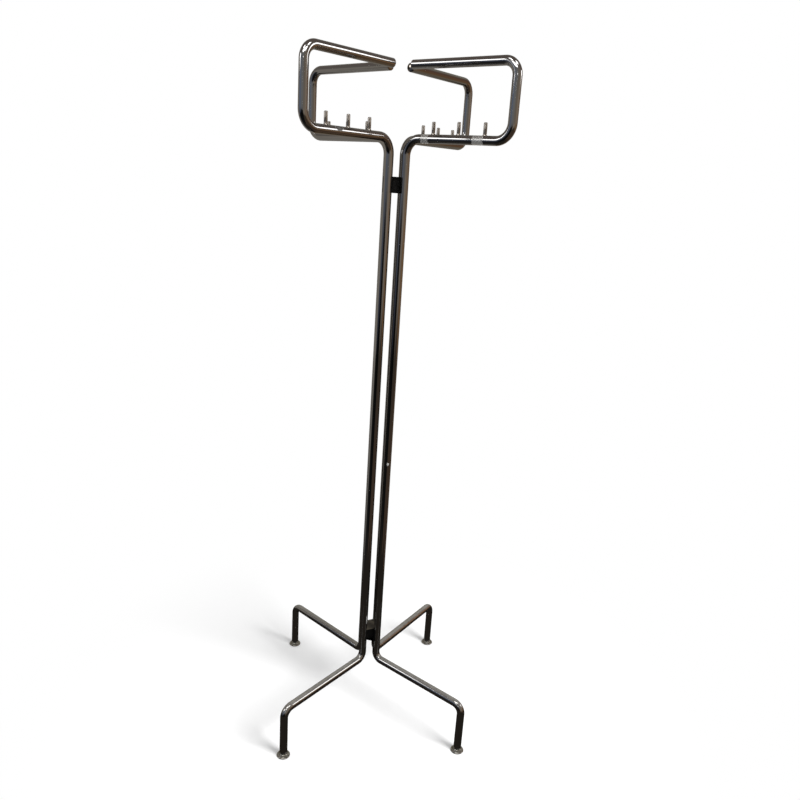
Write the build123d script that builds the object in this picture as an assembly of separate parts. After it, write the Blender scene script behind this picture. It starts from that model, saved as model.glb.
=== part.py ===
from build123d import *
import os
from math import asin, atan2, cos, degrees, radians, sin, sqrt

# Standing coat rack: four bent tubes held in a square by two spacers, pegs on the lower arms, feet that screw.
# Millimetres, +Z up, the front faces -Y. The origin is on the floor under the middle of the footprint.

# Tube
TUBE_DIAMETER = 20.0
TUBE_WALL = 1.5

# Bent shape of one tube: heights of its centreline, and reaches outwards from the axis of its column
LEG_HEIGHT = 137.0
LEG_REACH = 291.5
LOWER_ARM_HEIGHT = 1509.0
UPPER_ARM_RISE = 153.0
ARM_REACH = 271.5
TIP_REACH = 7.0

# Bend radii on the centreline, from the foot to the tip
KNEE_RADIUS = 23.0
ANKLE_RADIUS = 20.0
SHOULDER_RADIUS = 37.0
LOWER_CORNER_RADIUS = 36.0
UPPER_CORNER_RADIUS = 30.0

# Plan: columns on a square, and the angle from the left-right axis to each tube's arms and leg
COLUMN_SPACING = 37.6
FRONT_SPREAD = 45.0
REAR_SPREAD = 49.0

# Spacers between the columns
SPACER_HEIGHT = 36.0
SPACER_LIP = 9.0
SPACER_ROUNDING = 3.5
SPACER_CLEARANCE = 0.05
LOWER_SPACER_RISE = 75.0
UPPER_SPACER_DROP = 102.0

# Pegs on the lower arms
PEG_COUNT = 3
PEG_DIAMETER = 8.0
PEG_HEIGHT = 26.0
PEG_FIRST = 73.0
PEG_PITCH = 67.0
PEG_ROUNDING = 1.2
PEG_CLEARANCE = 0.05

# Caps in the tips of the upper arms
CAP_EDGE = 1.0
CAP_CROWN = 2.0
CAP_SHANK = 10.0
CAP_CLEARANCE = 0.05

# Feet: pad, base, stud and insert, from the floor up
PAD_DIAMETER = 28.0
PAD_THICKNESS = 2.0
PAD_DEPTH = 1.2
PAD_CLEARANCE = 0.05
BASE_DIAMETER = 33.5
BASE_EDGE = 0.6
RIM_HEIGHT = 2.4
SHOULDER_RISE = 1.9
BOSS_DIAMETER = 22.0
BOSS_RISE = 2.6
STUD_DIAMETER = 8.0
STUD_LENGTH = 24.0
STUD_CHAMFER = 1.0
HEAD_DIAMETER = 14.0
HEAD_HEIGHT = 2.2
HEX_ACROSS_FLATS = 13.0
HEX_HEIGHT = 3.6
TURNING_CLEARANCE = 0.06
END_PLAY = 0.15
STOP_GAP = 0.3
INSERT_FLANGE = 1.2
INSERT_LENGTH = 36.0
INSERT_CLEARANCE = 0.05

# Sizes that follow from the ones above
TUBE_RADIUS = TUBE_DIAMETER / 2
BORE_RADIUS = TUBE_RADIUS - TUBE_WALL
UPPER_ARM_HEIGHT = LOWER_ARM_HEIGHT + UPPER_ARM_RISE
BASE_UNDERSIDE = PAD_THICKNESS - PAD_DEPTH
RIM_TOP = BASE_UNDERSIDE + RIM_HEIGHT
BOSS_FOOT = RIM_TOP + SHOULDER_RISE
BASE_TOP = BOSS_FOOT + BOSS_RISE
HEAD_BOTTOM = PAD_THICKNESS + END_PLAY
HEAD_TOP = HEAD_BOTTOM + HEAD_HEIGHT
HEX_BOTTOM = BASE_TOP + END_PLAY
HEX_TOP = HEX_BOTTOM + HEX_HEIGHT
INSERT_BOTTOM = HEX_TOP + STOP_GAP
TUBE_END = INSERT_BOTTOM + INSERT_FLANGE

# The columns stand a little in front of the origin, because the rear legs reach further back
FRONT_REACH = LEG_REACH * sin(radians(FRONT_SPREAD))
REAR_REACH = LEG_REACH * sin(radians(REAR_SPREAD))
BUNDLE_Y = (FRONT_REACH - REAR_REACH) / 2

SIDES = {
    "front_left": (-1, -1, FRONT_SPREAD),
    "front_right": (1, -1, FRONT_SPREAD),
    "rear_left": (-1, 1, REAR_SPREAD),
    "rear_right": (1, 1, REAR_SPREAD),
}


def bent_path(corners, radii):
    """Join the corners by straight lines, with a round bend of the given radius in each right angle."""
    edges = []
    start = corners[0]
    for before, corner, after, radius in zip(corners, corners[1:], corners[2:], radii):
        back = (before - corner).normalized()
        onward = (after - corner).normalized()
        bend_start = corner + back * radius
        bend_end = corner + onward * radius
        centre = bend_start + onward * radius
        bend_middle = centre + (corner - centre).normalized() * radius
        edges.append(Line(start, bend_start))
        edges.append(ThreePointArc(bend_start, bend_middle, bend_end))
        start = bend_end
    edges.append(Line(start, corners[-1]))
    return Wire(edges)


def rod(radius, bottom, top):
    """A round bar on the Z axis between two heights."""
    return Pos(0, 0, bottom) * Cylinder(radius, top - bottom, align=(Align.CENTER, Align.CENTER, Align.MIN))


def turned(outline):
    """A solid of revolution about the Z axis from a closed outline of radius and height pairs."""
    face = make_face(Polyline(*[(radius, 0, height) for radius, height in outline], close=True))
    return revolve(face, Axis.Z)


def swept_round(path, radius):
    """A round bar that follows the path."""
    section = Plane(origin=path @ 0, z_dir=path % 0) * Circle(radius)
    return sweep(section, path=path)


def peg_places():
    """Distances of the pegs from the column's axis."""
    return [PEG_FIRST + number * PEG_PITCH for number in range(PEG_COUNT)]


def bent_tube():
    """One tube in its own upright plane: the column on the Z axis, the leg and the arms towards +X."""
    corners = [
        Vector(LEG_REACH, 0, TUBE_END),
        Vector(LEG_REACH, 0, LEG_HEIGHT),
        Vector(0, 0, LEG_HEIGHT),
        Vector(0, 0, LOWER_ARM_HEIGHT),
        Vector(ARM_REACH, 0, LOWER_ARM_HEIGHT),
        Vector(ARM_REACH, 0, UPPER_ARM_HEIGHT),
        Vector(TIP_REACH, 0, UPPER_ARM_HEIGHT),
    ]
    radii = [KNEE_RADIUS, ANKLE_RADIUS, SHOULDER_RADIUS, LOWER_CORNER_RADIUS, UPPER_CORNER_RADIUS]
    path = bent_path(corners, radii)
    tube = swept_round(path, TUBE_RADIUS) - swept_round(path, BORE_RADIUS)
    drill = rod(PEG_DIAMETER / 2 + PEG_CLEARANCE, LOWER_ARM_HEIGHT, LOWER_ARM_HEIGHT + TUBE_DIAMETER)
    for place in peg_places():
        tube -= Pos(place, 0, 0) * drill
    return tube


def peg():
    """A peg on the Z axis: it passes the upper wall of the arm and stands on the inside of the lower wall."""
    radius = PEG_DIAMETER / 2
    inside_floor = LOWER_ARM_HEIGHT - sqrt(BORE_RADIUS ** 2 - radius ** 2)
    bar = rod(radius, inside_floor + PEG_CLEARANCE, LOWER_ARM_HEIGHT + TUBE_RADIUS + PEG_HEIGHT)
    return fillet(bar.edges().sort_by(Axis.Z)[-1], PEG_ROUNDING)


def tip_cap():
    """A cap in the tip of the upper arm: a shank in the bore and a low dome that covers the end."""
    shank_radius = BORE_RADIUS - CAP_CLEARANCE
    crown = CAP_EDGE + CAP_CROWN
    ball_radius = (TUBE_RADIUS ** 2 + CAP_CROWN ** 2) / (2 * CAP_CROWN)
    half_angle = asin(TUBE_RADIUS / ball_radius) / 2
    dome = ThreePointArc(
        (TUBE_RADIUS, 0, CAP_EDGE),
        (ball_radius * sin(half_angle), 0, crown - ball_radius * (1 - cos(half_angle))),
        (0, 0, crown),
    )
    rest = Polyline(
        (0, 0, crown),
        (0, 0, -CAP_SHANK),
        (shank_radius, 0, -CAP_SHANK),
        (shank_radius, 0, 0),
        (TUBE_RADIUS, 0, 0),
        (TUBE_RADIUS, 0, CAP_EDGE),
    )
    cap = revolve(make_face([dome, rest]), Axis.Z)
    return Pos(TIP_REACH, 0, UPPER_ARM_HEIGHT) * Rot(0, -90, 0) * cap


def spacer():
    """A block between the columns, with a groove for each that goes a little more than half way round it."""
    half = COLUMN_SPACING / 2
    groove_radius = TUBE_RADIUS + SPACER_CLEARANCE
    reach = half + SPACER_LIP
    face_half = half - sqrt(groove_radius ** 2 - SPACER_LIP ** 2)
    outline = Rectangle(2 * reach, 2 * face_half) + Rectangle(2 * face_half, 2 * reach)
    for x in (-half, half):
        for y in (-half, half):
            outline -= Pos(x, y) * Circle(groove_radius)
    block = extrude(outline, SPACER_HEIGHT)
    ends = block.faces().sort_by(Axis.Z)
    flat_edges = [edge for end in (ends[0], ends[-1]) for edge in end.edges() if edge.geom_type == GeomType.LINE]
    block = fillet(flat_edges, SPACER_ROUNDING)
    return Pos(0, BUNDLE_Y, -SPACER_HEIGHT / 2) * block


def foot_pad():
    """The pad that the foot stands on."""
    return rod(PAD_DIAMETER / 2, 0, PAD_THICKNESS)


def foot_base():
    """The disc of the foot, turned: a rim, a sloping shoulder and a boss, with a seat below for head and pad."""
    rim = BASE_DIAMETER / 2
    boss = BOSS_DIAMETER / 2
    recess = PAD_DIAMETER / 2 + PAD_CLEARANCE
    seat = HEAD_DIAMETER / 2 + TURNING_CLEARANCE
    hole = STUD_DIAMETER / 2 + TURNING_CLEARANCE
    outline = [
        (recess, BASE_UNDERSIDE),
        (rim - BASE_EDGE, BASE_UNDERSIDE),
        (rim, BASE_UNDERSIDE + BASE_EDGE),
        (rim, RIM_TOP - BASE_EDGE),
        (rim - BASE_EDGE, RIM_TOP),
        (boss, BOSS_FOOT),
        (boss, BASE_TOP - BASE_EDGE),
        (boss - BASE_EDGE, BASE_TOP),
        (hole, BASE_TOP),
        (hole, HEAD_TOP + END_PLAY),
        (seat, HEAD_TOP + END_PLAY),
        (seat, PAD_THICKNESS),
        (recess, PAD_THICKNESS),
    ]
    return turned(outline)


def foot_stud():
    """The stud of the foot: a round head held in the base, a hexagon for a spanner and a threaded rod."""
    stud = rod(HEAD_DIAMETER / 2, HEAD_BOTTOM, HEAD_TOP)
    thread = rod(STUD_DIAMETER / 2, HEAD_BOTTOM, HEX_TOP + STUD_LENGTH)
    stud += chamfer(thread.edges().sort_by(Axis.Z)[-1], STUD_CHAMFER)
    hexagon = extrude(RegularPolygon(HEX_ACROSS_FLATS / 2, 6, major_radius=False), HEX_HEIGHT)
    return stud + Pos(0, 0, HEX_BOTTOM) * hexagon


def tube_insert():
    """The threaded insert in the end of the tube, with a flange that covers the tube's wall."""
    hole = STUD_DIAMETER / 2 + TURNING_CLEARANCE
    plug = BORE_RADIUS - INSERT_CLEARANCE
    outline = [
        (hole, INSERT_BOTTOM),
        (TUBE_RADIUS, INSERT_BOTTOM),
        (TUBE_RADIUS, TUBE_END),
        (plug, TUBE_END),
        (plug, TUBE_END + INSERT_LENGTH),
        (hole, TUBE_END + INSERT_LENGTH),
    ]
    return turned(outline)


# One set of pieces, placed once for each of the four tubes
tube = bent_tube()
cap = tip_cap()
pegs = [Pos(place, 0, 0) * peg() for place in peg_places()]
foot_pieces = {"base": foot_base(), "pad": foot_pad(), "stud": foot_stud(), "insert": tube_insert()}

nodes = {}
for side, (right, back, spread) in SIDES.items():
    turn = degrees(atan2(back * sin(radians(spread)), right * cos(radians(spread))))
    place = Pos(right * COLUMN_SPACING / 2, back * COLUMN_SPACING / 2 + BUNDLE_Y, 0) * Rot(0, 0, turn)
    nodes[f"{side}_tube"] = place * tube
    nodes[f"{side}_cap"] = place * cap
    for number, one_peg in enumerate(pegs, start=1):
        nodes[f"{side}_peg_{number}"] = place * one_peg
    for name, piece in foot_pieces.items():
        nodes[f"{side}_{name}"] = place * Pos(LEG_REACH, 0, 0) * piece

block = spacer()
nodes["lower_spacer"] = Pos(0, 0, LEG_HEIGHT + LOWER_SPACER_RISE) * block
nodes["upper_spacer"] = Pos(0, 0, LOWER_ARM_HEIGHT - UPPER_SPACER_DROP) * block

os.makedirs("parts", exist_ok=True)
for name, shape in nodes.items():
    shape.label = name
    export_step(shape, f"parts/{name}.step")
print(len(nodes), "nodes")
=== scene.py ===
# %% [markdown]
# A standing coat rack of four bent chrome tubes. Each tube is one long bend: foot, leg, column, lower arm,
# upright and upper arm. Two black spacers hold the four columns together, pegs stand on the lower arms, and
# a levelling foot screws into the end of every leg. The solids of the rack are already packed as a frame,
# so this lesson only dresses them: smooth meshes, finishes, a pale floor, light and a camera.

# %% Load the fixed frame
import math

import bmesh
import bpy
from mathutils import Matrix, Vector


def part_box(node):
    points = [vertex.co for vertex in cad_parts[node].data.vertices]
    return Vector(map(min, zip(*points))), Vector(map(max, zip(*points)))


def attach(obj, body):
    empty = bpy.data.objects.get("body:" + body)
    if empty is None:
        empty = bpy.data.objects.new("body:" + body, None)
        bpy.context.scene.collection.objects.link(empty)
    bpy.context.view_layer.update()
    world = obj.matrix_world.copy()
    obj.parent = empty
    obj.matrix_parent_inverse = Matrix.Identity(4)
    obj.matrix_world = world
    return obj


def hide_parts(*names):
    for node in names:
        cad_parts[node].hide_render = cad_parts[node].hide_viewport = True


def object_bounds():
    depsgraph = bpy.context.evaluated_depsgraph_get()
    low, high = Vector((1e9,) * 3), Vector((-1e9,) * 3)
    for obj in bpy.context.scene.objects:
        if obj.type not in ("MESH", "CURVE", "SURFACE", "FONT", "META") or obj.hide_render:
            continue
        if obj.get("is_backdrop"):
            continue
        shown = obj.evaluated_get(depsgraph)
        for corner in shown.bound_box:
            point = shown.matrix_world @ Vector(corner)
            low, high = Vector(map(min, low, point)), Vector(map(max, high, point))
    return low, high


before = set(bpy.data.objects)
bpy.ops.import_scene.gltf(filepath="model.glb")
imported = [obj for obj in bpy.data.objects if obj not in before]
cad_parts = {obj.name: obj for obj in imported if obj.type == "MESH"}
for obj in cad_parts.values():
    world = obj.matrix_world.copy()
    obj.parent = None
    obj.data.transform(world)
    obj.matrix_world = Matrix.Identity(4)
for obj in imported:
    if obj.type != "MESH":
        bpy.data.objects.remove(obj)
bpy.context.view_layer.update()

# %% [markdown]
# All four tubes are bent on the same tool, so one shape is made in an upright plane of its own: the column
# on the Z axis, the leg and the arms towards +X. It is then set in place four times. The place could be
# typed in, but the frame knows it: the spacer's middle gives the bundle of columns, and the pad under each
# foot says which way that tube is turned.

# %% Sizes in metres and the place of each tube
TUBE_RADIUS = 0.010
BORE_RADIUS = 0.0085
COLUMN_SPACING = 0.0376
SIDES = {
    "front_left": (-1, -1),
    "front_right": (1, -1),
    "rear_left": (-1, 1),
    "rear_right": (1, 1),
}


def box_middle(node):
    low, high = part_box(node)
    return (low + high) / 2


def column_of(side):
    right, back = SIDES[side]
    return box_middle("upper_spacer") + Vector((right, back, 0)) * (COLUMN_SPACING / 2)


def tube_place(side):
    column = column_of(side)
    out = box_middle(f"{side}_pad") - column
    turn = math.atan2(out.y, out.x)
    return Matrix.Translation((column.x, column.y, 0)) @ Matrix.Rotation(turn, 4, "Z")


places = {side: tube_place(side) for side in SIDES}
leg_reach = (box_middle("front_left_pad").xy - column_of("front_left").xy).length
print("legs reach", round(leg_reach * 1000, 1), "mm from their columns")

# %% [markdown]
# Finishes are node trees, and their sums are easier to read as Python. The class below holds one socket of
# a tree. Plus, minus, times, `abs` and `either`, the larger of two, put in Math nodes. `add` puts in any
# other node: its type, its settings, and then what goes into its sockets.

# %% Sockets that can be added and multiplied


class Wire:
    """One socket of a node tree that takes part in Python expressions."""

    def __init__(self, tree, socket=None):
        self.tree = tree
        self.socket = socket

    def add(self, kind, settings=None, sockets=None, out=0):
        node = self.tree.nodes.new(kind)
        for name, value in (settings or {}).items():
            if name == "stops":
                self.place_stops(node.color_ramp.elements, value)
            else:
                setattr(node, name, value)
        for key, value in (sockets or {}).items():
            if isinstance(value, Wire):
                self.tree.links.new(value.socket, node.inputs[key])
            else:
                node.inputs[key].default_value = value
        return Wire(self.tree, node.outputs[out] if node.outputs else None)

    @staticmethod
    def place_stops(elements, stops):
        while len(elements) < len(stops):
            elements.new(1.0)
        for element, (position, colour) in zip(elements, stops):
            element.position = position
            element.color = colour

    def math(self, operation, first, second=0.0):
        return self.add("ShaderNodeMath", {"operation": operation}, {0: first, 1: second})

    def __add__(self, other):
        return self.math("ADD", self, other)

    def __radd__(self, other):
        return self.math("ADD", other, self)

    def __sub__(self, other):
        return self.math("SUBTRACT", self, other)

    def __rsub__(self, other):
        return self.math("SUBTRACT", other, self)

    def __mul__(self, other):
        return self.math("MULTIPLY", self, other)

    def __rmul__(self, other):
        return self.math("MULTIPLY", other, self)

    def __abs__(self):
        return self.math("ABSOLUTE", self)

    def either(self, other):
        return self.math("MAXIMUM", self, other)


print("wires can be added and multiplied")

# %% [markdown]
# A few patterns come back in every finish: a smooth rise, a cloudy noise, a blend of two colours and a
# fine relief. They could be drawn anew in each tree, but as functions they keep the finishes short.

# %% Helpers for finishes


def new_finish(name):
    finish = bpy.data.materials.new(name)
    finish.use_nodes = True
    finish.node_tree.nodes.clear()
    return finish, Wire(finish.node_tree)


def ramp(value, low, high, start=0.0, end=1.0):
    """Rises smoothly from start to end while value goes from low to high."""
    return value.add(
        "ShaderNodeMapRange",
        {"interpolation_type": "SMOOTHSTEP"},
        {"Value": value, "From Min": low, "From Max": high, "To Min": start, "To Max": end},
    )


def noise(where, scale, detail, stretch=(1, 1, 1)):
    """Cloudy noise about a half, with so many clouds to the metre, drawn out where stretch is small."""
    mapped = where.add("ShaderNodeMapping", {}, {"Vector": where, "Scale": stretch})
    return where.add("ShaderNodeTexNoise", {}, {"Vector": mapped, "Scale": scale, "Detail": detail})


def tint(factor, first, second):
    """Colour that goes from first to second. The numbers are the node's sockets for colours."""
    settings = {"data_type": "RGBA"}
    return factor.add("ShaderNodeMix", settings, {0: factor, 6: first, 7: second}, out=2)


def bump(height, distance, strength):
    return height.add("ShaderNodeBump", {}, {"Height": height, "Distance": distance, "Strength": strength})


def surface(wire, sockets):
    shader = wire.add("ShaderNodeBsdfPrincipled", {}, sockets)
    wire.add("ShaderNodeOutputMaterial", {}, {"Surface": shader})


print("finish helpers ready")

# %% [markdown]
# Chrome plate is nearly a mirror, so what makes it look real is what sits on the mirror: a haze of old
# polish, streaks wiped along the tube, dust on the low legs, and marks where hangers have rubbed. A pattern
# in room coordinates would cut straight through the bends. Each tube therefore carries an attribute with the
# place of every point on the tube before it was bent, and the streaks follow that.

# %% The chrome finish
CLEAN_CHROME = (0.66, 0.665, 0.675, 1)
WIPED_CHROME = (0.55, 0.545, 0.53, 1)
DUST_COLOUR = (0.49, 0.445, 0.33, 1)
DUSTY_LENGTH = 0.42
DUST_FADE = 0.03
HAZE_SCALE = 14
STREAK_SCALE = 40
ALONG_TUBE = (4, 4, 0.35)
DUST_SCALE = 60
EDGE_SCALE = 330
WEAR_SCALE = 120
WAVE_SCALE = 30
WAVE_HEIGHT = 0.0012
DRAWN_OUT = (1, 1, 0.5)


def patch(where, centre, reach, ragged):
    """One within reach of centre in each direction, with an edge that wanders by the ragged noise."""
    off = where.add("ShaderNodeVectorMath", {"operation": "SUBTRACT"}, {0: where, 1: centre})
    scaled = where.add("ShaderNodeVectorMath", {"operation": "DIVIDE"}, {0: off, 1: reach})
    distance = where.add("ShaderNodeVectorMath", {"operation": "LENGTH"}, {0: scaled}, out="Value")
    return ramp(distance + ragged, 0.93, 1.07, 1.0, 0.0)


def chrome_finish(name, clean=CLEAN_CHROME, wiped=WIPED_CHROME, follows_bends=True, marks=()):
    finish, wire = new_finish(name)
    if follows_bends:
        where = wire.add("ShaderNodeAttribute", {"attribute_name": "unbent"}, out="Vector")
    else:
        where = wire.add("ShaderNodeTexCoord", out="Object")
    haze = noise(where, HAZE_SCALE, 3)
    streaks = ramp(noise(where, STREAK_SCALE, 3, ALONG_TUBE), 0.42, 0.72)
    colour = tint(streaks * 0.5 + haze * 0.2, clean, wiped)
    roughness = 0.04 + 0.05 * haze + 0.04 * streaks
    metallic = 1.0
    if follows_bends:
        facing = wire.add("ShaderNodeNewGeometry", out="Normal")
        upward = wire.add("ShaderNodeSeparateXYZ", {}, {"Vector": facing}, out="Z")
        along = wire.add("ShaderNodeSeparateXYZ", {}, {"Vector": where}, out="Z")
        low_down = ramp(along, DUSTY_LENGTH - DUST_FADE, DUSTY_LENGTH + DUST_FADE, 1.0, 0.0)
        patchy = ramp(noise(where, DUST_SCALE, 4), 0.3, 0.7, 0.6, 1.0)
        dust = ramp(upward, 0.45, 0.95) * low_down * patchy
        colour = tint(dust * 0.3, colour, DUST_COLOUR)
        roughness = roughness + dust * 0.06
        metallic = 1 - dust * 0.22
    if marks:
        ragged = (noise(where, EDGE_SCALE, 3) - 0.5) * 0.3
        uneven = ramp(noise(where, WEAR_SCALE, 2, DRAWN_OUT), 0.3, 0.6, 0.88, 1.0)
    for centre, reach, (mark_colour, dull, bare) in marks:
        mark = patch(where, centre, reach, ragged) * uneven
        colour = tint(mark, colour, mark_colour)
        roughness = roughness + mark * dull
        metallic = metallic - mark * bare
    waves = noise(where, WAVE_SCALE, 2, DRAWN_OUT)
    surface(wire, {
        "Base Color": colour,
        "Metallic": metallic,
        "Roughness": roughness,
        "Normal": bump(waves, WAVE_HEIGHT, 0.07),
    })
    return finish


print("chrome is", CLEAN_CHROME[:3], "where it is clean")

# %% [markdown]
# Every piece ends the same way. The mesh is placed, level or wide flat faces are shaded flat, edges sharper
# than a limit stay crisp, and the object is left at the origin with its place in its mesh and its finish.
# Then it is hung under an empty for the body it rides on, and the solid of the frame it stands for is hidden.

# %% Turning a mesh into a piece of the rack
CRISP_ANGLE = math.radians(38)
WIDE_FACE = 1e-4
NEARLY_LEVEL = 0.9995
made = {}


def into_scene(name, data):
    thing = bpy.data.objects.new(name, data)
    bpy.context.scene.collection.objects.link(thing)
    return thing


def mesh_object(bm, name, material):
    mesh = bpy.data.meshes.new(name)
    bm.to_mesh(mesh)
    bm.free()
    mesh.materials.append(material)
    return into_scene(name, mesh)


def finish_piece(bm, name, place, material, body, node, round_all=False):
    bmesh.ops.transform(bm, matrix=place, verts=bm.verts)
    bmesh.ops.recalc_face_normals(bm, faces=bm.faces)
    for face in bm.faces:
        flat = abs(face.normal.z) > NEARLY_LEVEL or face.calc_area() > WIDE_FACE
        face.smooth = round_all or not flat
    for edge in bm.edges:
        edge.smooth = edge.calc_face_angle(0) < CRISP_ANGLE
    piece = mesh_object(bm, name, material)
    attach(piece, body)
    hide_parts(node)
    made[name] = sum(len(face.vertices) - 2 for face in piece.data.polygons)


# %% [markdown]
# A tube follows a line with five square corners, and each corner is a bend with a radius of its own. A bend
# takes its radius from the straight runs on both sides. The path could be drawn by eye, but worked out run
# by run it also gives the length of straight tube that was bent.

# %% Path of the bent tube
TUBE_SIDES = 64
BEND_STEPS = 24
LEG_HEIGHT = 0.137
LOWER_ARM_HEIGHT = 1.509
UPPER_ARM_HEIGHT = 1.662
ARM_REACH = 0.2715
TIP_REACH = 0.007
SHOULDER_RADIUS = 0.037
BEND_RADII = (0.023, 0.020, SHOULDER_RADIUS, 0.036, 0.030)

tube_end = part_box("front_left_tube")[0].z
corners = [
    Vector((leg_reach, 0, tube_end)),
    Vector((leg_reach, 0, LEG_HEIGHT)),
    Vector((0, 0, LEG_HEIGHT)),
    Vector((0, 0, LOWER_ARM_HEIGHT)),
    Vector((ARM_REACH, 0, LOWER_ARM_HEIGHT)),
    Vector((ARM_REACH, 0, UPPER_ARM_HEIGHT)),
    Vector((TIP_REACH, 0, UPPER_ARM_HEIGHT)),
]


def path_steps():
    """The straight runs and the bends between them: length, direction, radius and next direction."""
    steps = []
    used = 0.0
    for number, radius in enumerate(BEND_RADII):
        run = corners[number + 1] - corners[number]
        onward = (corners[number + 2] - corners[number + 1]).normalized()
        steps.append((run.length - used - radius, run.normalized(), radius, onward))
        used = radius
    last = corners[-1] - corners[-2]
    steps.append((last.length - used, last.normalized(), None, None))
    return steps


bends_length = sum(radius * math.pi / 2 for radius in BEND_RADII)
tube_length = sum(step[0] for step in path_steps()) + bends_length
print("one tube is", round(tube_length, 3), "m long before bending")

# %% [markdown]
# The tube itself. A curve with a round bevel would be quicker, but a tube made the way it is bent in the
# workshop is easier to check: two rings, the outside and the bore, are pushed straight ahead with an
# extrude and swung round each bend with a spin. Each new ring notes how far along the tube it is.

# %% Extruding and spinning the rings along the path


def ring(bm, radius, centre):
    made_ring = bmesh.ops.create_circle(
        bm, segments=TUBE_SIDES, radius=radius, matrix=Matrix.Translation(centre)
    )
    return list({edge for vert in made_ring["verts"] for edge in vert.link_edges})


def only(kind, geometry):
    return [part for part in geometry if isinstance(part, kind)]


def bent_tube():
    """The mesh of one tube in its own plane, with the unbent place of each point in a layer."""
    bm = bmesh.new()
    unbent = bm.verts.layers.float_vector.new("unbent")
    here = corners[0].copy()
    front = [ring(bm, TUBE_RADIUS, here), ring(bm, BORE_RADIUS, here)]
    for vert in bm.verts:
        vert[unbent] = Vector((vert.co.x - here.x, vert.co.y, 0))
    bmesh.ops.bridge_loops(bm, edges=front[0] + front[1])
    along = 0.0

    def note(verts):
        for vert in verts:
            vert[unbent].z = along

    for length, direction, radius, onward in path_steps():
        for wall in (0, 1):
            pushed = bmesh.ops.extrude_edge_only(bm, edges=front[wall])["geom"]
            verts = only(bmesh.types.BMVert, pushed)
            bmesh.ops.translate(bm, verts=verts, vec=direction * length)
            edges = only(bmesh.types.BMEdge, pushed)
            front[wall] = [edge for edge in edges if set(edge.verts) <= set(verts)]
        along += length
        note({vert for wall in front for edge in wall for vert in edge.verts})
        here += direction * length
        if radius is None:
            break
        pivot = here + onward * radius
        turn = math.copysign(math.pi / 2, direction.cross(onward).y) / BEND_STEPS
        for _ in range(BEND_STEPS):
            for wall in (0, 1):
                swung = bmesh.ops.spin(
                    bm, geom=front[wall], cent=pivot, axis=(0, 1, 0), angle=turn, steps=1
                )["geom_last"]
                front[wall] = only(bmesh.types.BMEdge, swung)
            along += radius * abs(turn)
            note({vert for wall in front for edge in wall for vert in edge.verts})
        here += (direction + onward) * radius
    bmesh.ops.bridge_loops(bm, edges=front[0] + front[1])
    return bm


straight = path_steps()
along_shoulder = sum(step[0] for step in straight[:3]) + sum(BEND_RADII[:3]) * math.pi / 2
along_arm = along_shoulder - SHOULDER_RADIUS
print("the lower arm starts", round(along_arm, 3), "m along the tube")

# %% [markdown]
# The two front tubes are marked: two rubbed bands round the right lower arm, a nick on its column, a scratch
# on the left column and a dark stain on the left lower arm. They belong to the finish, because there the
# plate is worn and nothing stands proud of it. A mark has a place on the tube before bending (two distances
# across it and one along it), a reach, and a look: its colour, how dull it is and how bare of chrome.

# %% The four chrome tubes
along_column = straight[0][0] + straight[1][0] + sum(BEND_RADII[:2]) * math.pi / 2
all_round = 1.0
rubbed = ((0.88, 0.88, 0.86, 1), 0.24, 0.17)
scratched = ((0.55, 0.55, 0.53, 1), 0.30, 0.45)
stained = ((0.035, 0.032, 0.028, 1), 0.35, 1.0)
marks = {
    "front_right": [
        ((0, 0, along_arm + 0.055), (all_round, all_round, 0.010), rubbed),
        ((0, 0, along_arm + 0.1945), (all_round, all_round, 0.0135), rubbed),
        ((0.0075, -0.0066, along_column + 0.565), (0.0028, 0.0028, 0.004), scratched),
    ],
    "front_left": [
        ((0.0006, 0.00998, along_column + 0.1055), (0.0013, 0.0013, 0.013), scratched),
        ((-0.0058, 0.0081, along_arm + 0.1745), (0.0060, 0.0060, 0.0115), stained),
    ],
}
for side in SIDES:
    chrome = chrome_finish(f"{side} tube chrome", marks=marks.get(side, ()))
    finish_piece(
        bent_tube(),
        f"{side}_chrome_tube",
        places[side],
        chrome,
        "rack",
        f"{side}_tube",
        round_all=True,
    )
print("a tube has", made["front_left_chrome_tube"], "triangles")

# %% [markdown]
# The small turned pieces are all made on a lathe in real life, and `spin` is Blender's lathe. An outline of
# radius and height is drawn as a wire, spun a full turn with its ends merged, and chosen rims are rounded
# with a bevel afterwards, so that the radius of each rim is a number that can be read. Every point notes
# where it was on the lathe, so a finish can ask how far it is from the axis.

# %% A lathe
LATHE_STEPS = 48
SAME_PLACE = 1e-6


def round_edges(bm, edges, rounding, segments):
    bmesh.ops.bevel(
        bm, geom=edges, offset=rounding, affect="EDGES", segments=segments, profile=0.5, material=-1
    )


def lathe(outline, rims, closed=False, steps=LATHE_STEPS):
    """A turned piece on the Z axis. Rims are (corner of the outline, rounding) pairs."""
    bm = bmesh.new()
    verts = [bm.verts.new((radius, 0, height)) for radius, height in outline]
    pairs = list(zip(verts, verts[1:])) + ([(verts[-1], verts[0])] if closed else [])
    edges = [bm.edges.new(pair) for pair in pairs]
    bmesh.ops.spin(
        bm,
        geom=verts + edges,
        cent=(0, 0, 0),
        axis=(0, 0, 1),
        angle=2 * math.pi,
        steps=steps,
        use_merge=True,
    )
    bmesh.ops.remove_doubles(bm, verts=bm.verts, dist=SAME_PLACE)
    bmesh.ops.recalc_face_normals(bm, faces=bm.faces)
    for number, rounding in rims:
        round_rim(bm, outline[number], rounding)
    turned = bm.verts.layers.float_vector.new("turned")
    for vert in bm.verts:
        vert[turned] = vert.co
    return bm


def round_rim(bm, corner, rounding):
    radius, height = corner

    def on_rim(vert):
        off_radius = abs(vert.co.xy.length - radius)
        return off_radius < SAME_PLACE and abs(vert.co.z - height) < SAME_PLACE

    rim = [edge for edge in bm.edges if all(on_rim(vert) for vert in edge.verts)]
    round_edges(bm, rim, rounding, segments=4)


print("the lathe turns in", LATHE_STEPS, "steps")

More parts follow.
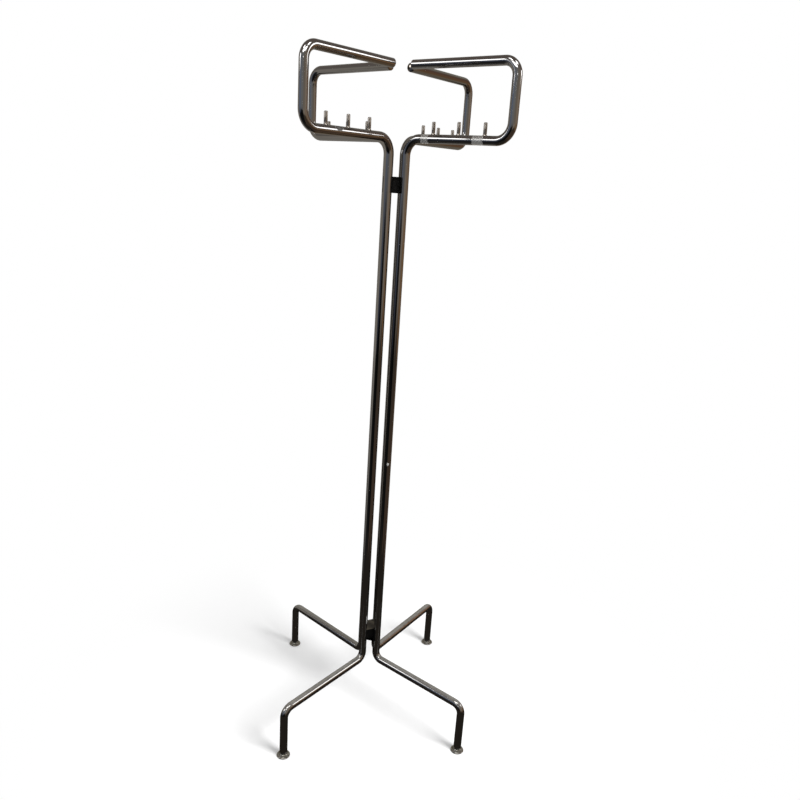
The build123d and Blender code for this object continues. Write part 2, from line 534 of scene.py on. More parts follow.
# %% [markdown]
# The tip of every upper arm is closed by a chromed cap: a shank inside the bore and a low dome outside. Its
# axis lies along the arm, so the turned cap is tipped over before it is placed. The dome is a wire arc made
# by spinning one vertex, which keeps it a true arc however the cap is resized.

# %% Caps in the tips
SNUG_GAP = 0.00005
CAP_EDGE = 0.001
CAP_CROWN = 0.002
CAP_SHANK = 0.010
DOME_STEPS = 8
SMALL_CHROME = (0.54, 0.50, 0.455, 1)
SMALL_WIPED = (0.45, 0.41, 0.365, 1)
small_chrome = chrome_finish("small chrome", SMALL_CHROME, SMALL_WIPED, follows_bends=False)


def dome_outline(radius, foot, rise, steps):
    """Points of a spherical cap from its rim to its top."""
    ball = (radius ** 2 + rise ** 2) / (2 * rise)
    half = math.asin(radius / ball)
    bm = bmesh.new()
    start = bm.verts.new((radius, 0, foot))
    bmesh.ops.spin(
        bm, geom=[start], cent=(0, 0, foot + rise - ball), axis=(0, 1, 0), angle=-half, steps=steps
    )
    points = sorted(((abs(vert.co.x), vert.co.z) for vert in bm.verts), reverse=True)
    bm.free()
    return points


shank = BORE_RADIUS - SNUG_GAP
dome = dome_outline(TUBE_RADIUS, CAP_EDGE, CAP_CROWN, DOME_STEPS)
cap_outline = [
    (0, -CAP_SHANK),
    (shank, -CAP_SHANK),
    (shank, 0),
    (TUBE_RADIUS, 0),
    *dome[:-1],
    (0, CAP_EDGE + CAP_CROWN),
]
cap_rims = [(4, 0.0005), (3, 0.0002)]
tip = Matrix.Translation((TIP_REACH, 0, UPPER_ARM_HEIGHT))
tipped = tip @ Matrix.Rotation(-math.pi / 2, 4, "Y")
for side in SIDES:
    finish_piece(
        lathe(cap_outline, cap_rims),
        f"{side}_chrome_cap",
        places[side] @ tipped,
        small_chrome,
        "rack",
        f"{side}_cap",
    )
print("cap outline has", len(cap_outline), "points")

# %% [markdown]
# Three pegs stand on every lower arm and keep the hangers apart. A peg goes through the upper wall of the
# arm and is brazed there. The braze shows as a small hollow fillet, so the outline flares towards the arm,
# and the edge of the flare dips below the crown of the round arm, where it disappears into the tube.

# %% Pegs
PEG_RADIUS = 0.004
PEG_HEIGHT = 0.026
PEG_PLACES = (0.073, 0.140, 0.207)
PEG_ROUNDING = 0.0022
PEG_STEPS = 32
FLARE = (
    (0.0, -0.0030),
    (0.0018, -0.0017),
    (0.0012, -0.0009),
    (0.0007, 0.0),
    (0.0003, 0.0010),
    (0.0001, 0.0022),
    (0.0, 0.0036),
)
arm_top = LOWER_ARM_HEIGHT + TUBE_RADIUS
peg_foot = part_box("front_left_peg_1")[0].z
peg_outline = [
    (0, peg_foot),
    (PEG_RADIUS, peg_foot),
    *((PEG_RADIUS + out, arm_top + up) for out, up in FLARE),
    (PEG_RADIUS, arm_top + PEG_HEIGHT),
    (0, arm_top + PEG_HEIGHT),
]
peg_rims = [(len(peg_outline) - 2, PEG_ROUNDING)]
for side in SIDES:
    for number, reach in enumerate(PEG_PLACES, start=1):
        finish_piece(
            lathe(peg_outline, peg_rims, steps=PEG_STEPS),
            f"{side}_chrome_peg_{number}",
            places[side] @ Matrix.Translation((reach, 0, 0)),
            small_chrome,
            "rack",
            f"{side}_peg_{number}",
        )
print("a peg has", made["front_left_chrome_peg_1"], "triangles")

# %% [markdown]
# Black moulded plastic is matt, with a fine grain from the mould. Dust lies on what faces up, and scuffs
# run up and down. A plain colour would look like paper, so these three are laid over it with noise, and
# the same finish serves for rubber and nylon later.

# %% The black moulding finish
BLACK_PLASTIC = (0.0035, 0.0033, 0.0032, 1)
BLACK_DUSTY = (0.078, 0.067, 0.05, 1)
GRAIN_SCALE = 2600
GRAIN_HEIGHT = 0.0002


def moulding_finish(name, colour, dusty, roughness):
    finish, wire = new_finish(name)
    where = wire.add("ShaderNodeTexCoord", out="Object")
    facing = wire.add("ShaderNodeNewGeometry", out="Normal")
    up = wire.add("ShaderNodeSeparateXYZ", {}, {"Vector": facing}, out="Z")
    dust = ramp(up, 0.15, 0.6) * ramp(noise(where, 90, 4), 0.25, 0.7, 0.6, 1.0)
    scuff = ramp(noise(where, 160, 3, (1, 1, 0.2)), 0.6, 0.75)
    grain = noise(where, GRAIN_SCALE, 2)
    surface(wire, {
        "Base Color": tint(dust.either(scuff * 0.12), colour, dusty),
        "Roughness": roughness + 0.18 * dust + 0.1 * scuff,
        "Specular IOR Level": 0.3,
        "Normal": bump(grain, GRAIN_HEIGHT, 0.25),
    })
    return finish


black_moulding = moulding_finish("black moulding", BLACK_PLASTIC, BLACK_DUSTY, roughness=0.55)
print("spacers are moulded black")

# %% [markdown]
# The spacers are black mouldings with a groove for each column. A groove goes a little more than half way
# round its tube, so the spacer snaps on and holds. The outline is four arcs, each spun from one vertex
# about the middle of a column, joined by straight lips, filled and extruded. Moulded edges are never sharp:
# the ends of the lips get a full rounding, and all the other rims a small one.

# %% Spacers
SPACER_HEIGHT = 0.036
SPACER_LIP = 0.009
SPACER_ROUNDING = 0.0035
RIM_ROUNDING = 0.0006
GROOVE_RADIUS = TUBE_RADIUS + SNUG_GAP
GROOVE_STEPS = 40
TO_THE_MIDDLE = math.radians(225)
SHORTEST_LIP = 0.02
SHARP_RIM = math.radians(30)


def groove(bm, turn):
    """The wire of one groove, as the first and the last vertex of its arc."""
    middle = Vector((COLUMN_SPACING / 2, COLUMN_SPACING / 2, 0))
    lip = Vector((-math.sqrt(GROOVE_RADIUS ** 2 - SPACER_LIP ** 2), SPACER_LIP, 0))
    sweep = 2 * (TO_THE_MIDDLE - math.atan2(lip.y, lip.x))
    swing = Matrix.Rotation(turn, 3, "Z")
    first = bm.verts.new(swing @ (middle + lip))
    arc = bmesh.ops.spin(
        bm, geom=[first], cent=swing @ middle, axis=(0, 0, 1), angle=sweep, steps=GROOVE_STEPS
    )
    return first, only(bmesh.types.BMVert, arc["geom_last"])[0]


def spacer():
    bm = bmesh.new()
    ends = [groove(bm, number * math.pi / 2) for number in range(4)]
    for (first, _), (_, last) in zip(ends, ends[-1:] + ends[:-1]):
        bm.edges.new((last, first))
    outline = bmesh.ops.contextual_create(bm, geom=bm.edges)["faces"]
    raised = bmesh.ops.extrude_face_region(bm, geom=outline)["geom"]
    bmesh.ops.translate(bm, verts=only(bmesh.types.BMVert, raised), vec=(0, 0, SPACER_HEIGHT))
    bmesh.ops.recalc_face_normals(bm, faces=bm.faces)
    level = [edge for edge in bm.edges if edge.verts[0].co.z == edge.verts[1].co.z]
    lips = [edge for edge in level if edge.calc_length() > SHORTEST_LIP]
    round_edges(bm, lips, SPACER_ROUNDING, segments=8)
    rims = [edge for edge in bm.edges if edge.calc_face_angle(0) > SHARP_RIM]
    round_edges(bm, rims, RIM_ROUNDING, segments=2)
    return bm


for name in ("lower_spacer", "upper_spacer"):
    low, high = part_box(name)
    foot = Vector(((low.x + high.x) / 2, (low.y + high.y) / 2, low.z))
    finish_piece(
        spacer(),
        f"{name}_moulding",
        Matrix.Translation(foot),
        black_moulding,
        "rack",
        name,
    )
print("a spacer has", made["lower_spacer_moulding"], "triangles")

# %% [markdown]
# The feet. A turned disc with a stepped top spreads the load, a rubber pad lies in its recess, and a stud
# with a hexagon carries it. Near the floor the plate has dulled. The level top of the boss, under the end of
# the tube, and the corner at its foot get painted shade: a dark colour with less shine. The disc therefore
# gets a finish of its own, and the painted shade finds its place by the distance from the axis.

# %% The worn chrome of the feet, with painted shade
CORNER_RADIUS = 0.0119
BOSS_LEVEL = (0.0078, 0.0088)
WORN_BRIGHT = (0.70, 0.69, 0.64, 1)
WORN_DULL = (0.55, 0.53, 0.46, 1)
# Colour of the painted shade on the feet.
FOOT_SHADE = (0.09, 0.078, 0.06, 1)


def worn_chrome_finish(name):
    finish, wire = new_finish(name)
    where = wire.add("ShaderNodeTexCoord", out="Object")
    turned = wire.add("ShaderNodeAttribute", {"attribute_name": "turned"}, out="Vector")
    flat = wire.add("ShaderNodeVectorMath", {"operation": "MULTIPLY"}, {0: turned, 1: (1, 1, 0)})
    radius = wire.add("ShaderNodeVectorMath", {"operation": "LENGTH"}, {0: flat}, out="Value")
    clouds = noise(where, 120, 3)
    # Painted shade: the corner at the foot of the boss and the level top of the boss, under the end of the
    # tube, are darkened and made duller.
    corner = ramp(abs(radius - CORNER_RADIUS), 0.0007, 0.0016, 1.0, 0.0)
    shaded_level_top = ramp(radius, *BOSS_LEVEL, 1.0, 0.0)
    painted_shade = corner.either(shaded_level_top) * ramp(clouds, 0.3, 0.6, 0.7, 1.0)
    colour = tint(ramp(clouds, 0.35, 0.7), WORN_BRIGHT, WORN_DULL)
    surface(wire, {
        "Base Color": tint(painted_shade, colour, FOOT_SHADE),
        "Metallic": 0.95 - 0.5 * painted_shade,
        "Roughness": 0.05 + 0.03 * clouds + 0.35 * painted_shade,
        "Normal": bump(noise(where, 300, 2), 0.0003, 0.02),
    })
    return finish


worn_chrome = worn_chrome_finish("worn foot chrome")
print("feet get", worn_chrome.name)

# %% [markdown]
# The disc comes off the lathe in one closed outline: the rim, the stepped top, the bore for the stud and the
# recess below. A disc without its bore would look the same from outside, but the stud turns in it when the
# foot is screwed out, so the small gaps round the stud are kept.

# %% Discs of the feet
PAD_RADIUS = 0.014
PAD_TOP = 0.002
BASE_UNDERSIDE = 0.0008
RIM_RADIUS = 0.01675
RIM_TOP = 0.0032
BOSS_RADIUS = 0.011
BOSS_FOOT = 0.0044
BASE_TOP = 0.0077
STUD_RADIUS = 0.004
HEAD_RADIUS = 0.007
HEAD_BOTTOM = 0.00215
HEAD_TOP = 0.00435
TURNING_GAP = 0.00006
END_PLAY = 0.00015
DISC_STEPS = 64
pad_recess = PAD_RADIUS + SNUG_GAP
base_outline = [
    (pad_recess, BASE_UNDERSIDE),
    (RIM_RADIUS, BASE_UNDERSIDE),
    (RIM_RADIUS, RIM_TOP),
    (BOSS_RADIUS, BOSS_FOOT),
    (BOSS_RADIUS, BASE_TOP),
    (STUD_RADIUS + TURNING_GAP, BASE_TOP),
    (STUD_RADIUS + TURNING_GAP, HEAD_TOP + END_PLAY),
    (HEAD_RADIUS + TURNING_GAP, HEAD_TOP + END_PLAY),
    (HEAD_RADIUS + TURNING_GAP, PAD_TOP),
    (pad_recess, PAD_TOP),
]
base_rims = [(1, 0.0005), (2, 0.0017), (4, 0.0029)]


def foot_place(side):
    return Matrix.Translation((*box_middle(f"{side}_pad").xy, 0))


for side in SIDES:
    finish_piece(
        lathe(base_outline, base_rims, closed=True, steps=DISC_STEPS),
        f"{side}_foot_disc",
        foot_place(side),
        worn_chrome,
        f"{side}_foot",
        f"{side}_base",
    )
print("a disc has", made["front_left_foot_disc"], "triangles")

# %% [markdown]
# A rubber pad in the recess keeps the metal off the floor. It is the simplest turned piece, a plain disc
# with two rounded rims, in the moulding finish with a greyer colour and less shine.

# %% Rubber pads
RUBBER = (0.022, 0.021, 0.02, 1)
RUBBER_DUSTY = (0.07, 0.065, 0.055, 1)
PAD_ROUNDING = 0.0003
rubber = moulding_finish("floor rubber", RUBBER, RUBBER_DUSTY, roughness=0.75)
pad_outline = [(0, 0), (PAD_RADIUS, 0), (PAD_RADIUS, PAD_TOP), (0, PAD_TOP)]
for side in SIDES:
    finish_piece(
        lathe(pad_outline, rims=[(1, PAD_ROUNDING), (2, PAD_ROUNDING)]),
        f"{side}_rubber_pad",
        foot_place(side),
        rubber,
        f"{side}_foot",
        f"{side}_pad",
    )
print("pads are", PAD_RADIUS * 2000, "mm across")

# %% [markdown]
# Studs are zinc plated: greyer and duller than chrome, in soft clouds. Polished chrome that is only made
# rougher would be too bright, so zinc has its own two greys.

# %% The zinc finish
ZINC_BRIGHT = (0.60, 0.60, 0.57, 1)
ZINC_DULL = (0.42, 0.42, 0.37, 1)


def zinc_finish(name):
    finish, wire = new_finish(name)
    where = wire.add("ShaderNodeTexCoord", out="Object")
    cloud = ramp(noise(where, 320, 3), 0.35, 0.7)
    surface(wire, {
        "Base Color": tint(cloud, ZINC_BRIGHT, ZINC_DULL),
        "Metallic": 1.0,
        "Roughness": 0.28 + 0.15 * cloud,
        "Normal": bump(noise(where, 1500, 2), 0.0002, 0.25),
    })
    return finish


zinc = zinc_finish("zinc plate")
print("studs get", zinc.name)

# %% [markdown]
# The stud turns in the disc and screws into the leg. Its thread only shows when the foot is screwed out,
# and then a plain rod would look wrong. A thread is a spin that also climbs: a small triangle goes round
# the rod and rises by one pitch each turn. The hexagon for the spanner is a cone with six sides and no taper.

# %% Hexagon and thread
PITCH = 0.00125
THREAD_DEPTH = 0.00068
THREAD_CORE = STUD_RADIUS - THREAD_DEPTH
THREAD_SUNK = THREAD_CORE - 0.0003
THREAD_STEPS = 20
HEX_BOTTOM = 0.00785
HEX_TOP = 0.01145
HEX_FLATS = 0.013
HEX_ROUNDING = 0.0003


def hexagon():
    bm = bmesh.new()
    to_corner = HEX_FLATS / math.sqrt(3)
    bmesh.ops.create_cone(
        bm,
        cap_ends=True,
        segments=6,
        radius1=to_corner,
        radius2=to_corner,
        depth=HEX_TOP - HEX_BOTTOM,
        matrix=Matrix.Translation((0, 0, (HEX_TOP + HEX_BOTTOM) / 2)),
    )
    round_edges(bm, bm.edges, HEX_ROUNDING, segments=2)
    return bm


def thread(bottom, top):
    """One long tooth that climbs round the rod, closed at both ends."""
    turns = (top - bottom - PITCH) / PITCH
    steps = round(turns * THREAD_STEPS)
    bm = bmesh.new()
    tooth = [(THREAD_SUNK, 0), (STUD_RADIUS, PITCH / 2), (THREAD_SUNK, PITCH)]
    verts = [bm.verts.new((radius, 0, bottom + height)) for radius, height in tooth]
    start = bm.faces.new(verts)
    climbed = bmesh.ops.spin(
        bm,
        geom=list(start.edges),
        cent=(0, 0, 0),
        axis=(0, 0, 1),
        dvec=(0, 0, PITCH / THREAD_STEPS),
        angle=steps * 2 * math.pi / THREAD_STEPS,
        steps=steps,
    )
    bm.faces.new(only(bmesh.types.BMVert, climbed["geom_last"]))
    return bm


print("one turn of the stud is", PITCH * 1000, "mm")

# %% [markdown]
# A stud is three meshes in one: the turned rod with its head, the hexagon and the thread. On the real stud
# they are cut from one bar. Here they only overlap, which no view can show, and the thread keeps its own
# even faces.

# %% Zinc plated studs
STUD_TOP = HEX_TOP + 0.024
STUD_ROUNDING = 0.0008
THREAD_BOTTOM = HEX_TOP + 0.0006
THREAD_TOP = STUD_TOP - 0.0004
NECK_TOP = HEX_TOP + 0.0012


def merge_into(bm, other):
    """Adds the other mesh to bm."""
    carrier = bpy.data.meshes.new("carrier")
    other.to_mesh(carrier)
    other.free()
    bm.from_mesh(carrier)
    bpy.data.meshes.remove(carrier)


stud_outline = [
    (0, HEAD_BOTTOM),
    (HEAD_RADIUS, HEAD_BOTTOM),
    (HEAD_RADIUS, HEAD_TOP),
    (STUD_RADIUS, HEAD_TOP),
    (STUD_RADIUS, THREAD_BOTTOM),
    (THREAD_CORE, NECK_TOP),
    (THREAD_CORE, STUD_TOP),
    (0, STUD_TOP),
]
for side in SIDES:
    stud = lathe(stud_outline, rims=[(6, STUD_ROUNDING)])
    merge_into(stud, hexagon())
    merge_into(stud, thread(THREAD_BOTTOM, THREAD_TOP))
    finish_piece(
        stud,
        f"{side}_zinc_stud",
        foot_place(side),
        zinc,
        f"{side}_screw",
        f"{side}_stud",
    )
print("a stud has", made["front_left_zinc_stud"], "triangles")

# %% [markdown]
# A threaded insert is pressed into the end of every leg, and only its thin flange shows, as a dark line
# between the tube and the hexagon.

# %% Inserts in the legs
INSERT_BOTTOM = 0.01175
INSERT_LENGTH = 0.036
NYLON = (0.030, 0.030, 0.032, 1)
NYLON_DUSTY = (0.09, 0.085, 0.075, 1)
nylon = moulding_finish("insert nylon", NYLON, NYLON_DUSTY, roughness=0.5)
insert_outline = [
    (STUD_RADIUS + TURNING_GAP, INSERT_BOTTOM),
    (TUBE_RADIUS, INSERT_BOTTOM),
    (TUBE_RADIUS, tube_end),
    (BORE_RADIUS - SNUG_GAP, tube_end),
    (BORE_RADIUS - SNUG_GAP, tube_end + INSERT_LENGTH),
    (STUD_RADIUS + TURNING_GAP, tube_end + INSERT_LENGTH),
]
insert_rims = [(1, 0.0004), (4, 0.0006)]
for side in SIDES:
    finish_piece(
        lathe(insert_outline, insert_rims, closed=True),
        f"{side}_nylon_insert",
        foot_place(side),
        nylon,
        "rack",
        f"{side}_insert",
    )
print(len(made), "pieces with", sum(made.values()), "triangles")

# %% [markdown]
# The floor is plain and pale. Close to the rack it is an ordinary matt surface and takes the soft shadows.
# Further out it fades into white for the camera, so that no horizon shows. The world is the same white
# for the camera and for reflections, and a quiet level of light for everything else.

# %% Floor and world
WORLD_LIGHT = 0.61
FLOOR_COLOUR = (0.96, 0.96, 0.96, 1)
FLOOR_REACH = 30
FADE_FROM = 0.3
FADE_TO = 0.95


def seen_directly(wire):
    """One for the rays that come from the camera, from a mirror or through glass."""
    direct = wire.add("ShaderNodeLightPath", out="Is Camera Ray")
    glossy = wire.add("ShaderNodeLightPath", out="Is Glossy Ray")
    through = wire.add("ShaderNodeLightPath", out="Is Transmission Ray")
    return direct.either(glossy).either(through)


floor_finish, wire = new_finish("pale floor")
spot = wire.add("ShaderNodeTexCoord", out="Object")
distance = wire.add("ShaderNodeVectorMath", {"operation": "LENGTH"}, {0: spot}, out="Value")
matt = wire.add("ShaderNodeBsdfDiffuse", {}, {"Color": FLOOR_COLOUR})
white = wire.add("ShaderNodeEmission", {}, {"Strength": 1.0})
share = ramp(distance, FADE_FROM, FADE_TO) * seen_directly(wire)
mixed = wire.add("ShaderNodeMixShader", {}, {0: share, 1: matt, 2: white})
wire.add("ShaderNodeOutputMaterial", {}, {"Surface": mixed})

bm = bmesh.new()
bmesh.ops.create_grid(bm, x_segments=1, y_segments=1, size=FLOOR_REACH)
floor = mesh_object(bm, "floor", floor_finish)
floor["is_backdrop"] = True

world = bpy.data.worlds.new("studio")
bpy.context.scene.world = world
world.use_nodes = True
world.cycles.sampling_method = "NONE"
world.node_tree.nodes.clear()
wire = Wire(world.node_tree)
level = seen_directly(wire) * (1 - WORLD_LIGHT) + WORLD_LIGHT
backdrop = wire.add("ShaderNodeBackground", {}, {"Color": (1, 1, 1, 1), "Strength": level})
wire.add("ShaderNodeOutputWorld", {}, {"Surface": backdrop})
print("world light", WORLD_LIGHT)

# %% [markdown]
# One large soft lamp hangs high to the front right. It throws the shadows of the legs softly to the rear
# left. Chrome would show the lamp as a hard patch, so reflections get cards of their own in the next step.

# %% The key lamp
KEY_FROM = Vector((2.65, -2.56, 3.48))
KEY_AIM = Vector((0, 0, 0.1))
KEY_SIZE = 2.2
KEY_POWER = 230
lamp = bpy.data.lights.new("key", "AREA")
lamp.shape = "DISK"
lamp.size = KEY_SIZE
lamp.energy = KEY_POWER
key = into_scene("key", lamp)
key.location = KEY_FROM
key.rotation_mode = "QUATERNION"
key.rotation_quaternion = (KEY_AIM - KEY_FROM).to_track_quat("-Z", "Y")
key.visible_glossy = False
print("key lamp", round((KEY_FROM - KEY_AIM).length, 2), "m away")

# %% [markdown]
# Chrome has no colour of its own: it shows the room. A photographer puts cards round it, so that the tubes
# get dark edges, a cool side, a warm side and a bright line from a window. The cards below make such a room:
# two windows high in the side walls, five small lamps, brown to the right and blue grey to the left. They
# are seen in reflections only, dimmer in the reflection of a reflection. They light nothing and throw no
# shadow.

# %% A card for the chrome to mirror
SIDE_WALL = 4.0
REAR_WALL = 4.0
FRONT_WALL = 4.0
CEILING = 4.2
SECOND_GLOW = 0.3


def card(name, size, place, stops):
    """A flat card whose colours are stops along its own Y axis, from 0 to 1."""
    finish, wire = new_finish(name)
    spot = wire.add("ShaderNodeAttribute", {"attribute_name": "on_card"}, out="Vector")
    step = wire.add("ShaderNodeSeparateXYZ", {}, {"Vector": spot}, out="Y")
    colour = wire.add("ShaderNodeValToRGB", {"stops": stops}, {"Fac": step})
    bounces = wire.add("ShaderNodeLightPath", out="Glossy Depth")
    dimming = ramp(bounces, 1, 2, 1.0, SECOND_GLOW)
    dimmed = wire.add("ShaderNodeVectorMath", {"operation": "SCALE"}, {0: colour, "Scale": dimming})
    glow = wire.add("ShaderNodeEmission", {}, {"Color": dimmed})
    wire.add("ShaderNodeOutputMaterial", {}, {"Surface": glow})
    finish.cycles.emission_sampling = "NONE"
    bm = bmesh.new()
    on_card = bm.verts.layers.float_vector.new("on_card")
    bmesh.ops.create_grid(bm, x_segments=1, y_segments=1, size=0.5)
    for vert in bm.verts:
        vert[on_card] = vert.co + Vector((0.5, 0.5, 0))
    bmesh.ops.scale(bm, vec=(size[0], size[1], 1), verts=bm.verts)
    bmesh.ops.transform(bm, matrix=place, verts=bm.verts)
    flat = mesh_object(bm, name, finish)
    flat.visible_camera = False
    flat.visible_diffuse = False
    flat.visible_transmission = False
    flat.visible_volume_scatter = False
    flat.visible_shadow = False
    flat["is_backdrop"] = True


def side_card(name, x, rear_from, rear_to, low, high, stops):
    """A card in a side wall, from one distance to another and from one height to another."""
    middle = (x, (rear_from + rear_to) / 2, (low + high) / 2)
    stand = Matrix.Rotation(math.pi / 2, 4, "Z") @ Matrix.Rotation(math.pi / 2, 4, "X")
    card(name, (rear_to - rear_from, high - low), Matrix.Translation(middle) @ stand, stops)


def facing_card(name, y, left, right, low, high, stops):
    """A card in the front or the rear wall."""
    middle = ((left + right) / 2, y, (low + high) / 2)
    stand = Matrix.Rotation(math.pi / 2, 4, "X")
    card(name, (right - left, high - low), Matrix.Translation(middle) @ stand, stops)


print("the mirrored room is", 2 * SIDE_WALL, "m wide")

# %% [markdown]
# The side walls give the tubes their colours, so each is split where the colour changes from front to rear,
# and on every card the colours run from the floor up. One card with a picture of a room would be another
# way, but a few plain bands are easier to set. The windows hang just in front of the walls.

# %% Side walls and windows
INSET = 0.02
WINDOW_LOW = 2.1
WINDOW_HIGH = 3.45
WINDOW_GLOW = (2.5, 2.46, 2.42, 1)
SILL_GLOW = (0.5, 0.45, 0.4, 1)
RIGHT_WINDOW_FRONT = -0.95
LEFT_WINDOW_FRONT = -1.2
RIGHT_WINDOW_END = 0.4
LEFT_WINDOW_END = 0.1
CUPBOARD_END = 0.85
side_card("right_wall", SIDE_WALL, -FRONT_WALL, RIGHT_WINDOW_END, 0, CEILING, [
    (0.0, (0.15, 0.085, 0.042, 1)),
    (0.2, (0.185, 0.118, 0.068, 1)),
    (0.5, (0.24, 0.19, 0.145, 1)),
    (1.0, (0.11, 0.08, 0.068, 1)),
])
side_card("right_cupboard", SIDE_WALL, RIGHT_WINDOW_END, CUPBOARD_END, 0, CEILING, [
    (0.0, (0.17, 0.085, 0.035, 1)),
    (0.2, (0.25, 0.135, 0.06, 1)),
    (0.6, (0.15, 0.09, 0.055, 1)),
    (1.0, (0.13, 0.095, 0.075, 1)),
])
side_card("right_rear_wall", SIDE_WALL, CUPBOARD_END, REAR_WALL, 0, CEILING, [
    (0.0, (0.125, 0.07, 0.033, 1)),
    (0.3, (0.13, 0.073, 0.04, 1)),
    (0.5, (0.115, 0.061, 0.039, 1)),
    (0.75, (0.097, 0.06, 0.045, 1)),
    (1.0, (0.15, 0.12, 0.09, 1)),
])
side_card("left_wall", -SIDE_WALL, -FRONT_WALL, LEFT_WINDOW_END, 0, CEILING, [
    (0.0, (0.024, 0.026, 0.038, 1)),
    (0.1, (0.04, 0.045, 0.062, 1)),
    (0.22, (0.085, 0.092, 0.11, 1)),
    (0.4, (0.115, 0.13, 0.165, 1)),
    (0.5, (0.125, 0.145, 0.185, 1)),
    (1.0, (0.15, 0.145, 0.14, 1)),
])
side_card("left_rear_wall", -SIDE_WALL, LEFT_WINDOW_END, REAR_WALL, 0, CEILING, [
    (0.0, (0.21, 0.19, 0.165, 1)),
    (0.4, (0.20, 0.18, 0.155, 1)),
    (0.6, (0.115, 0.10, 0.088, 1)),
    (1.0, (0.13, 0.115, 0.10, 1)),
])
windows = [(0.0, SILL_GLOW), (0.12, WINDOW_GLOW), (1.0, WINDOW_GLOW)]
right_pane = (RIGHT_WINDOW_FRONT, RIGHT_WINDOW_END, WINDOW_LOW, WINDOW_HIGH)
left_pane = (LEFT_WINDOW_FRONT, LEFT_WINDOW_END, WINDOW_LOW, WINDOW_HIGH)
side_card("right_window", SIDE_WALL - INSET, *right_pane, windows)
side_card("left_window", INSET - SIDE_WALL, *left_pane, windows)
print("windows from", WINDOW_LOW, "to", WINDOW_HIGH, "m")

# %% [markdown]
# The middle of a tube mirrors the front wall, which is dark low on the left and lighter on the right. Only
# the edges of a tube mirror the rear wall, so it is one even card.

# %% Front and rear walls
FRONT_SPLIT = 0.1
facing_card("front_right_wall", -FRONT_WALL, FRONT_SPLIT, SIDE_WALL, 0, CEILING, [
    (0.0, (0.07, 0.055, 0.042, 1)),
    (0.08, (0.17, 0.14, 0.11, 1)),
    (0.22, (0.225, 0.185, 0.145, 1)),
    (0.45, (0.165, 0.138, 0.11, 1)),
])
facing_card("front_left_wall", -FRONT_WALL, -SIDE_WALL, FRONT_SPLIT, 0, CEILING, [
    (0.0, (0.004, 0.004, 0.004, 1)),
    (0.225, (0.013, 0.0125, 0.0135, 1)),
    (0.285, (0.10, 0.10, 0.105, 1)),
    (0.46, (0.16, 0.16, 0.158, 1)),
    (1.0, (0.15, 0.15, 0.15, 1)),
])
facing_card("rear_wall", REAR_WALL, -SIDE_WALL, SIDE_WALL, 0, CEILING, [
    (0.0, (0.19, 0.175, 0.15, 1)),
    (0.5, (0.21, 0.195, 0.16, 1)),
    (1.0, (0.19, 0.175, 0.145, 1)),
])
print("front wall is split at", FRONT_SPLIT, "m")

# %% [markdown]
# Bends, caps and pegs mirror what is above them. A dim ceiling with a few small bright lamps gives them
# their points of light. Real lamps would throw shadows as well, so these are cards too.

# %% Ceiling and lamps


def level_card(name, left, right, front, rear, height, stops):
    """A card that lies level, with its colours from front to rear."""
    middle = ((left + right) / 2, (front + rear) / 2, height)
    card(name, (right - left, rear - front), Matrix.Translation(middle), stops)


level_card("ceiling", -SIDE_WALL, SIDE_WALL, -FRONT_WALL, REAR_WALL, CEILING, [
    (0.0, (0.16, 0.14, 0.12, 1)),
    (0.55, (0.11, 0.088, 0.075, 1)),
    (0.75, (0.12, 0.10, 0.09, 1)),
    (0.88, (0.19, 0.175, 0.145, 1)),
])
LAMP_GLOW = (3.2, 3.15, 3.09, 1)
LAMP_HEIGHT = CEILING - INSET
NEAR_LAMP_HEIGHT = 2.25
shine = [(0.0, LAMP_GLOW), (1.0, LAMP_GLOW)]
level_card("near_lamp", -0.75, 0.2, -1.05, -0.65, NEAR_LAMP_HEIGHT, shine)
level_card("far_lamp", -2.3, -1.1, -3.4, -2.4, LAMP_HEIGHT, shine)
level_card("left_lamp", -1.9, -0.9, -1.6, -0.7, LAMP_HEIGHT, shine)
level_card("right_lamp", 0.5, 1.5, -1.6, -0.7, LAMP_HEIGHT, shine)
facing_card("front_lamp", INSET - FRONT_WALL, -0.95, -0.5, 2.32, 2.6, shine)
print("four lamps hang level and one faces the rack")

# %% [markdown]
# Whatever faces down mirrors the floor: a dark mat over four larger cards, two to the front and two to the
# rear. The pale floor that the camera sees would light the tubes from below like snow, so reflections get
# this darker one. Where two cards overlap, one lies a hair above the other.

# %% The mirrored floor
MAT_COLOUR = (0.0205, 0.0168, 0.0135, 1)
MAT_HEIGHT = 0.0006
FRONT_FLOOR_HEIGHT = 0.0004
REAR_FLOOR_HEIGHT = 0.0003
level_card("mat", -0.75, 0.75, -0.9, 0.6, MAT_HEIGHT, [(0.0, MAT_COLOUR), (1.0, MAT_COLOUR)])
level_card("front_right_floor", -0.1, SIDE_WALL, -FRONT_WALL, 0.3, FRONT_FLOOR_HEIGHT, [
    (0.0, (0.04, 0.033, 0.025, 1)),
    (1.0, (0.062, 0.038, 0.025, 1)),
])
level_card("front_left_floor", -SIDE_WALL, -0.1, -FRONT_WALL, -0.2, FRONT_FLOOR_HEIGHT, [
    (0.0, (0.003, 0.003, 0.003, 1)),
    (0.8, (0.006, 0.006, 0.006, 1)),
    (1.0, (0.014, 0.0135, 0.013, 1)),
])
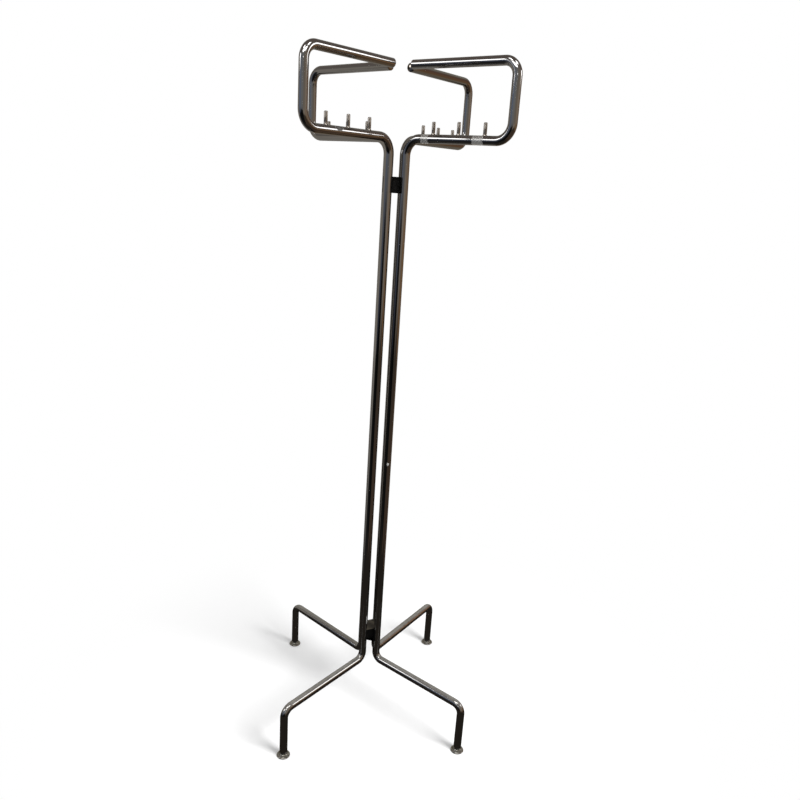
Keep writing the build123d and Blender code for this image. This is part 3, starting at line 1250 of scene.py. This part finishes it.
level_card("rear_left_floor", -SIDE_WALL, 0.0, -0.2, REAR_WALL, REAR_FLOOR_HEIGHT, [
    (0.0, (0.014, 0.0135, 0.013, 1)),
    (0.12, (0.03, 0.028, 0.026, 1)),
    (0.25, (0.19, 0.175, 0.155, 1)),
    (0.5, (0.21, 0.193, 0.17, 1)),
])
level_card("rear_right_floor", 0.0, SIDE_WALL, 0.3, REAR_WALL, REAR_FLOOR_HEIGHT, [
    (0.0, (0.062, 0.038, 0.025, 1)),
    (0.25, (0.12, 0.08, 0.045, 1)),
    (0.5, (0.15, 0.13, 0.105, 1)),
])
print("the mirrored room is", FRONT_WALL + REAR_WALL, "m deep")

# %% [markdown]
# The camera stands a little to the left of the rack at chest height, looks down at it and is tilted a
# little. Its place was found by matching the bends, tips and feet of the model to the picture.

# %% Camera
CAMERA_AT = Vector((-0.17565, -1.77335, 1.43183))
YAW, PITCH_DOWN, ROLL = 0.1235, 0.2975, 0.0642
FOCAL_PIXELS = 735.72
FRAME_PIXELS = 800
SENSOR = 36.0

ahead = Vector((
    math.sin(YAW) * math.cos(PITCH_DOWN),
    math.cos(YAW) * math.cos(PITCH_DOWN),
    -math.sin(PITCH_DOWN),
))
rightward = Vector((math.cos(YAW), -math.sin(YAW), 0))
upward = rightward.cross(ahead)
across = math.cos(ROLL) * rightward + math.sin(ROLL) * upward
above = -math.sin(ROLL) * rightward + math.cos(ROLL) * upward
lens = bpy.data.cameras.new("camera")
lens.sensor_width = SENSOR
lens.lens = SENSOR * FOCAL_PIXELS / FRAME_PIXELS
camera = into_scene("camera", lens)
aim = Matrix((across, above, -ahead)).transposed().to_4x4()
camera.matrix_world = Matrix.Translation(CAMERA_AT) @ aim
bpy.context.scene.camera = camera
bpy.context.scene.view_settings.view_transform = "Standard"
print("lens", round(lens.lens, 2), "mm")

# %% [markdown]
# Last, the size of the dressed rack is printed.

# %% Size
low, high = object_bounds()
print("size", [round(value, 4) for value in high - low])
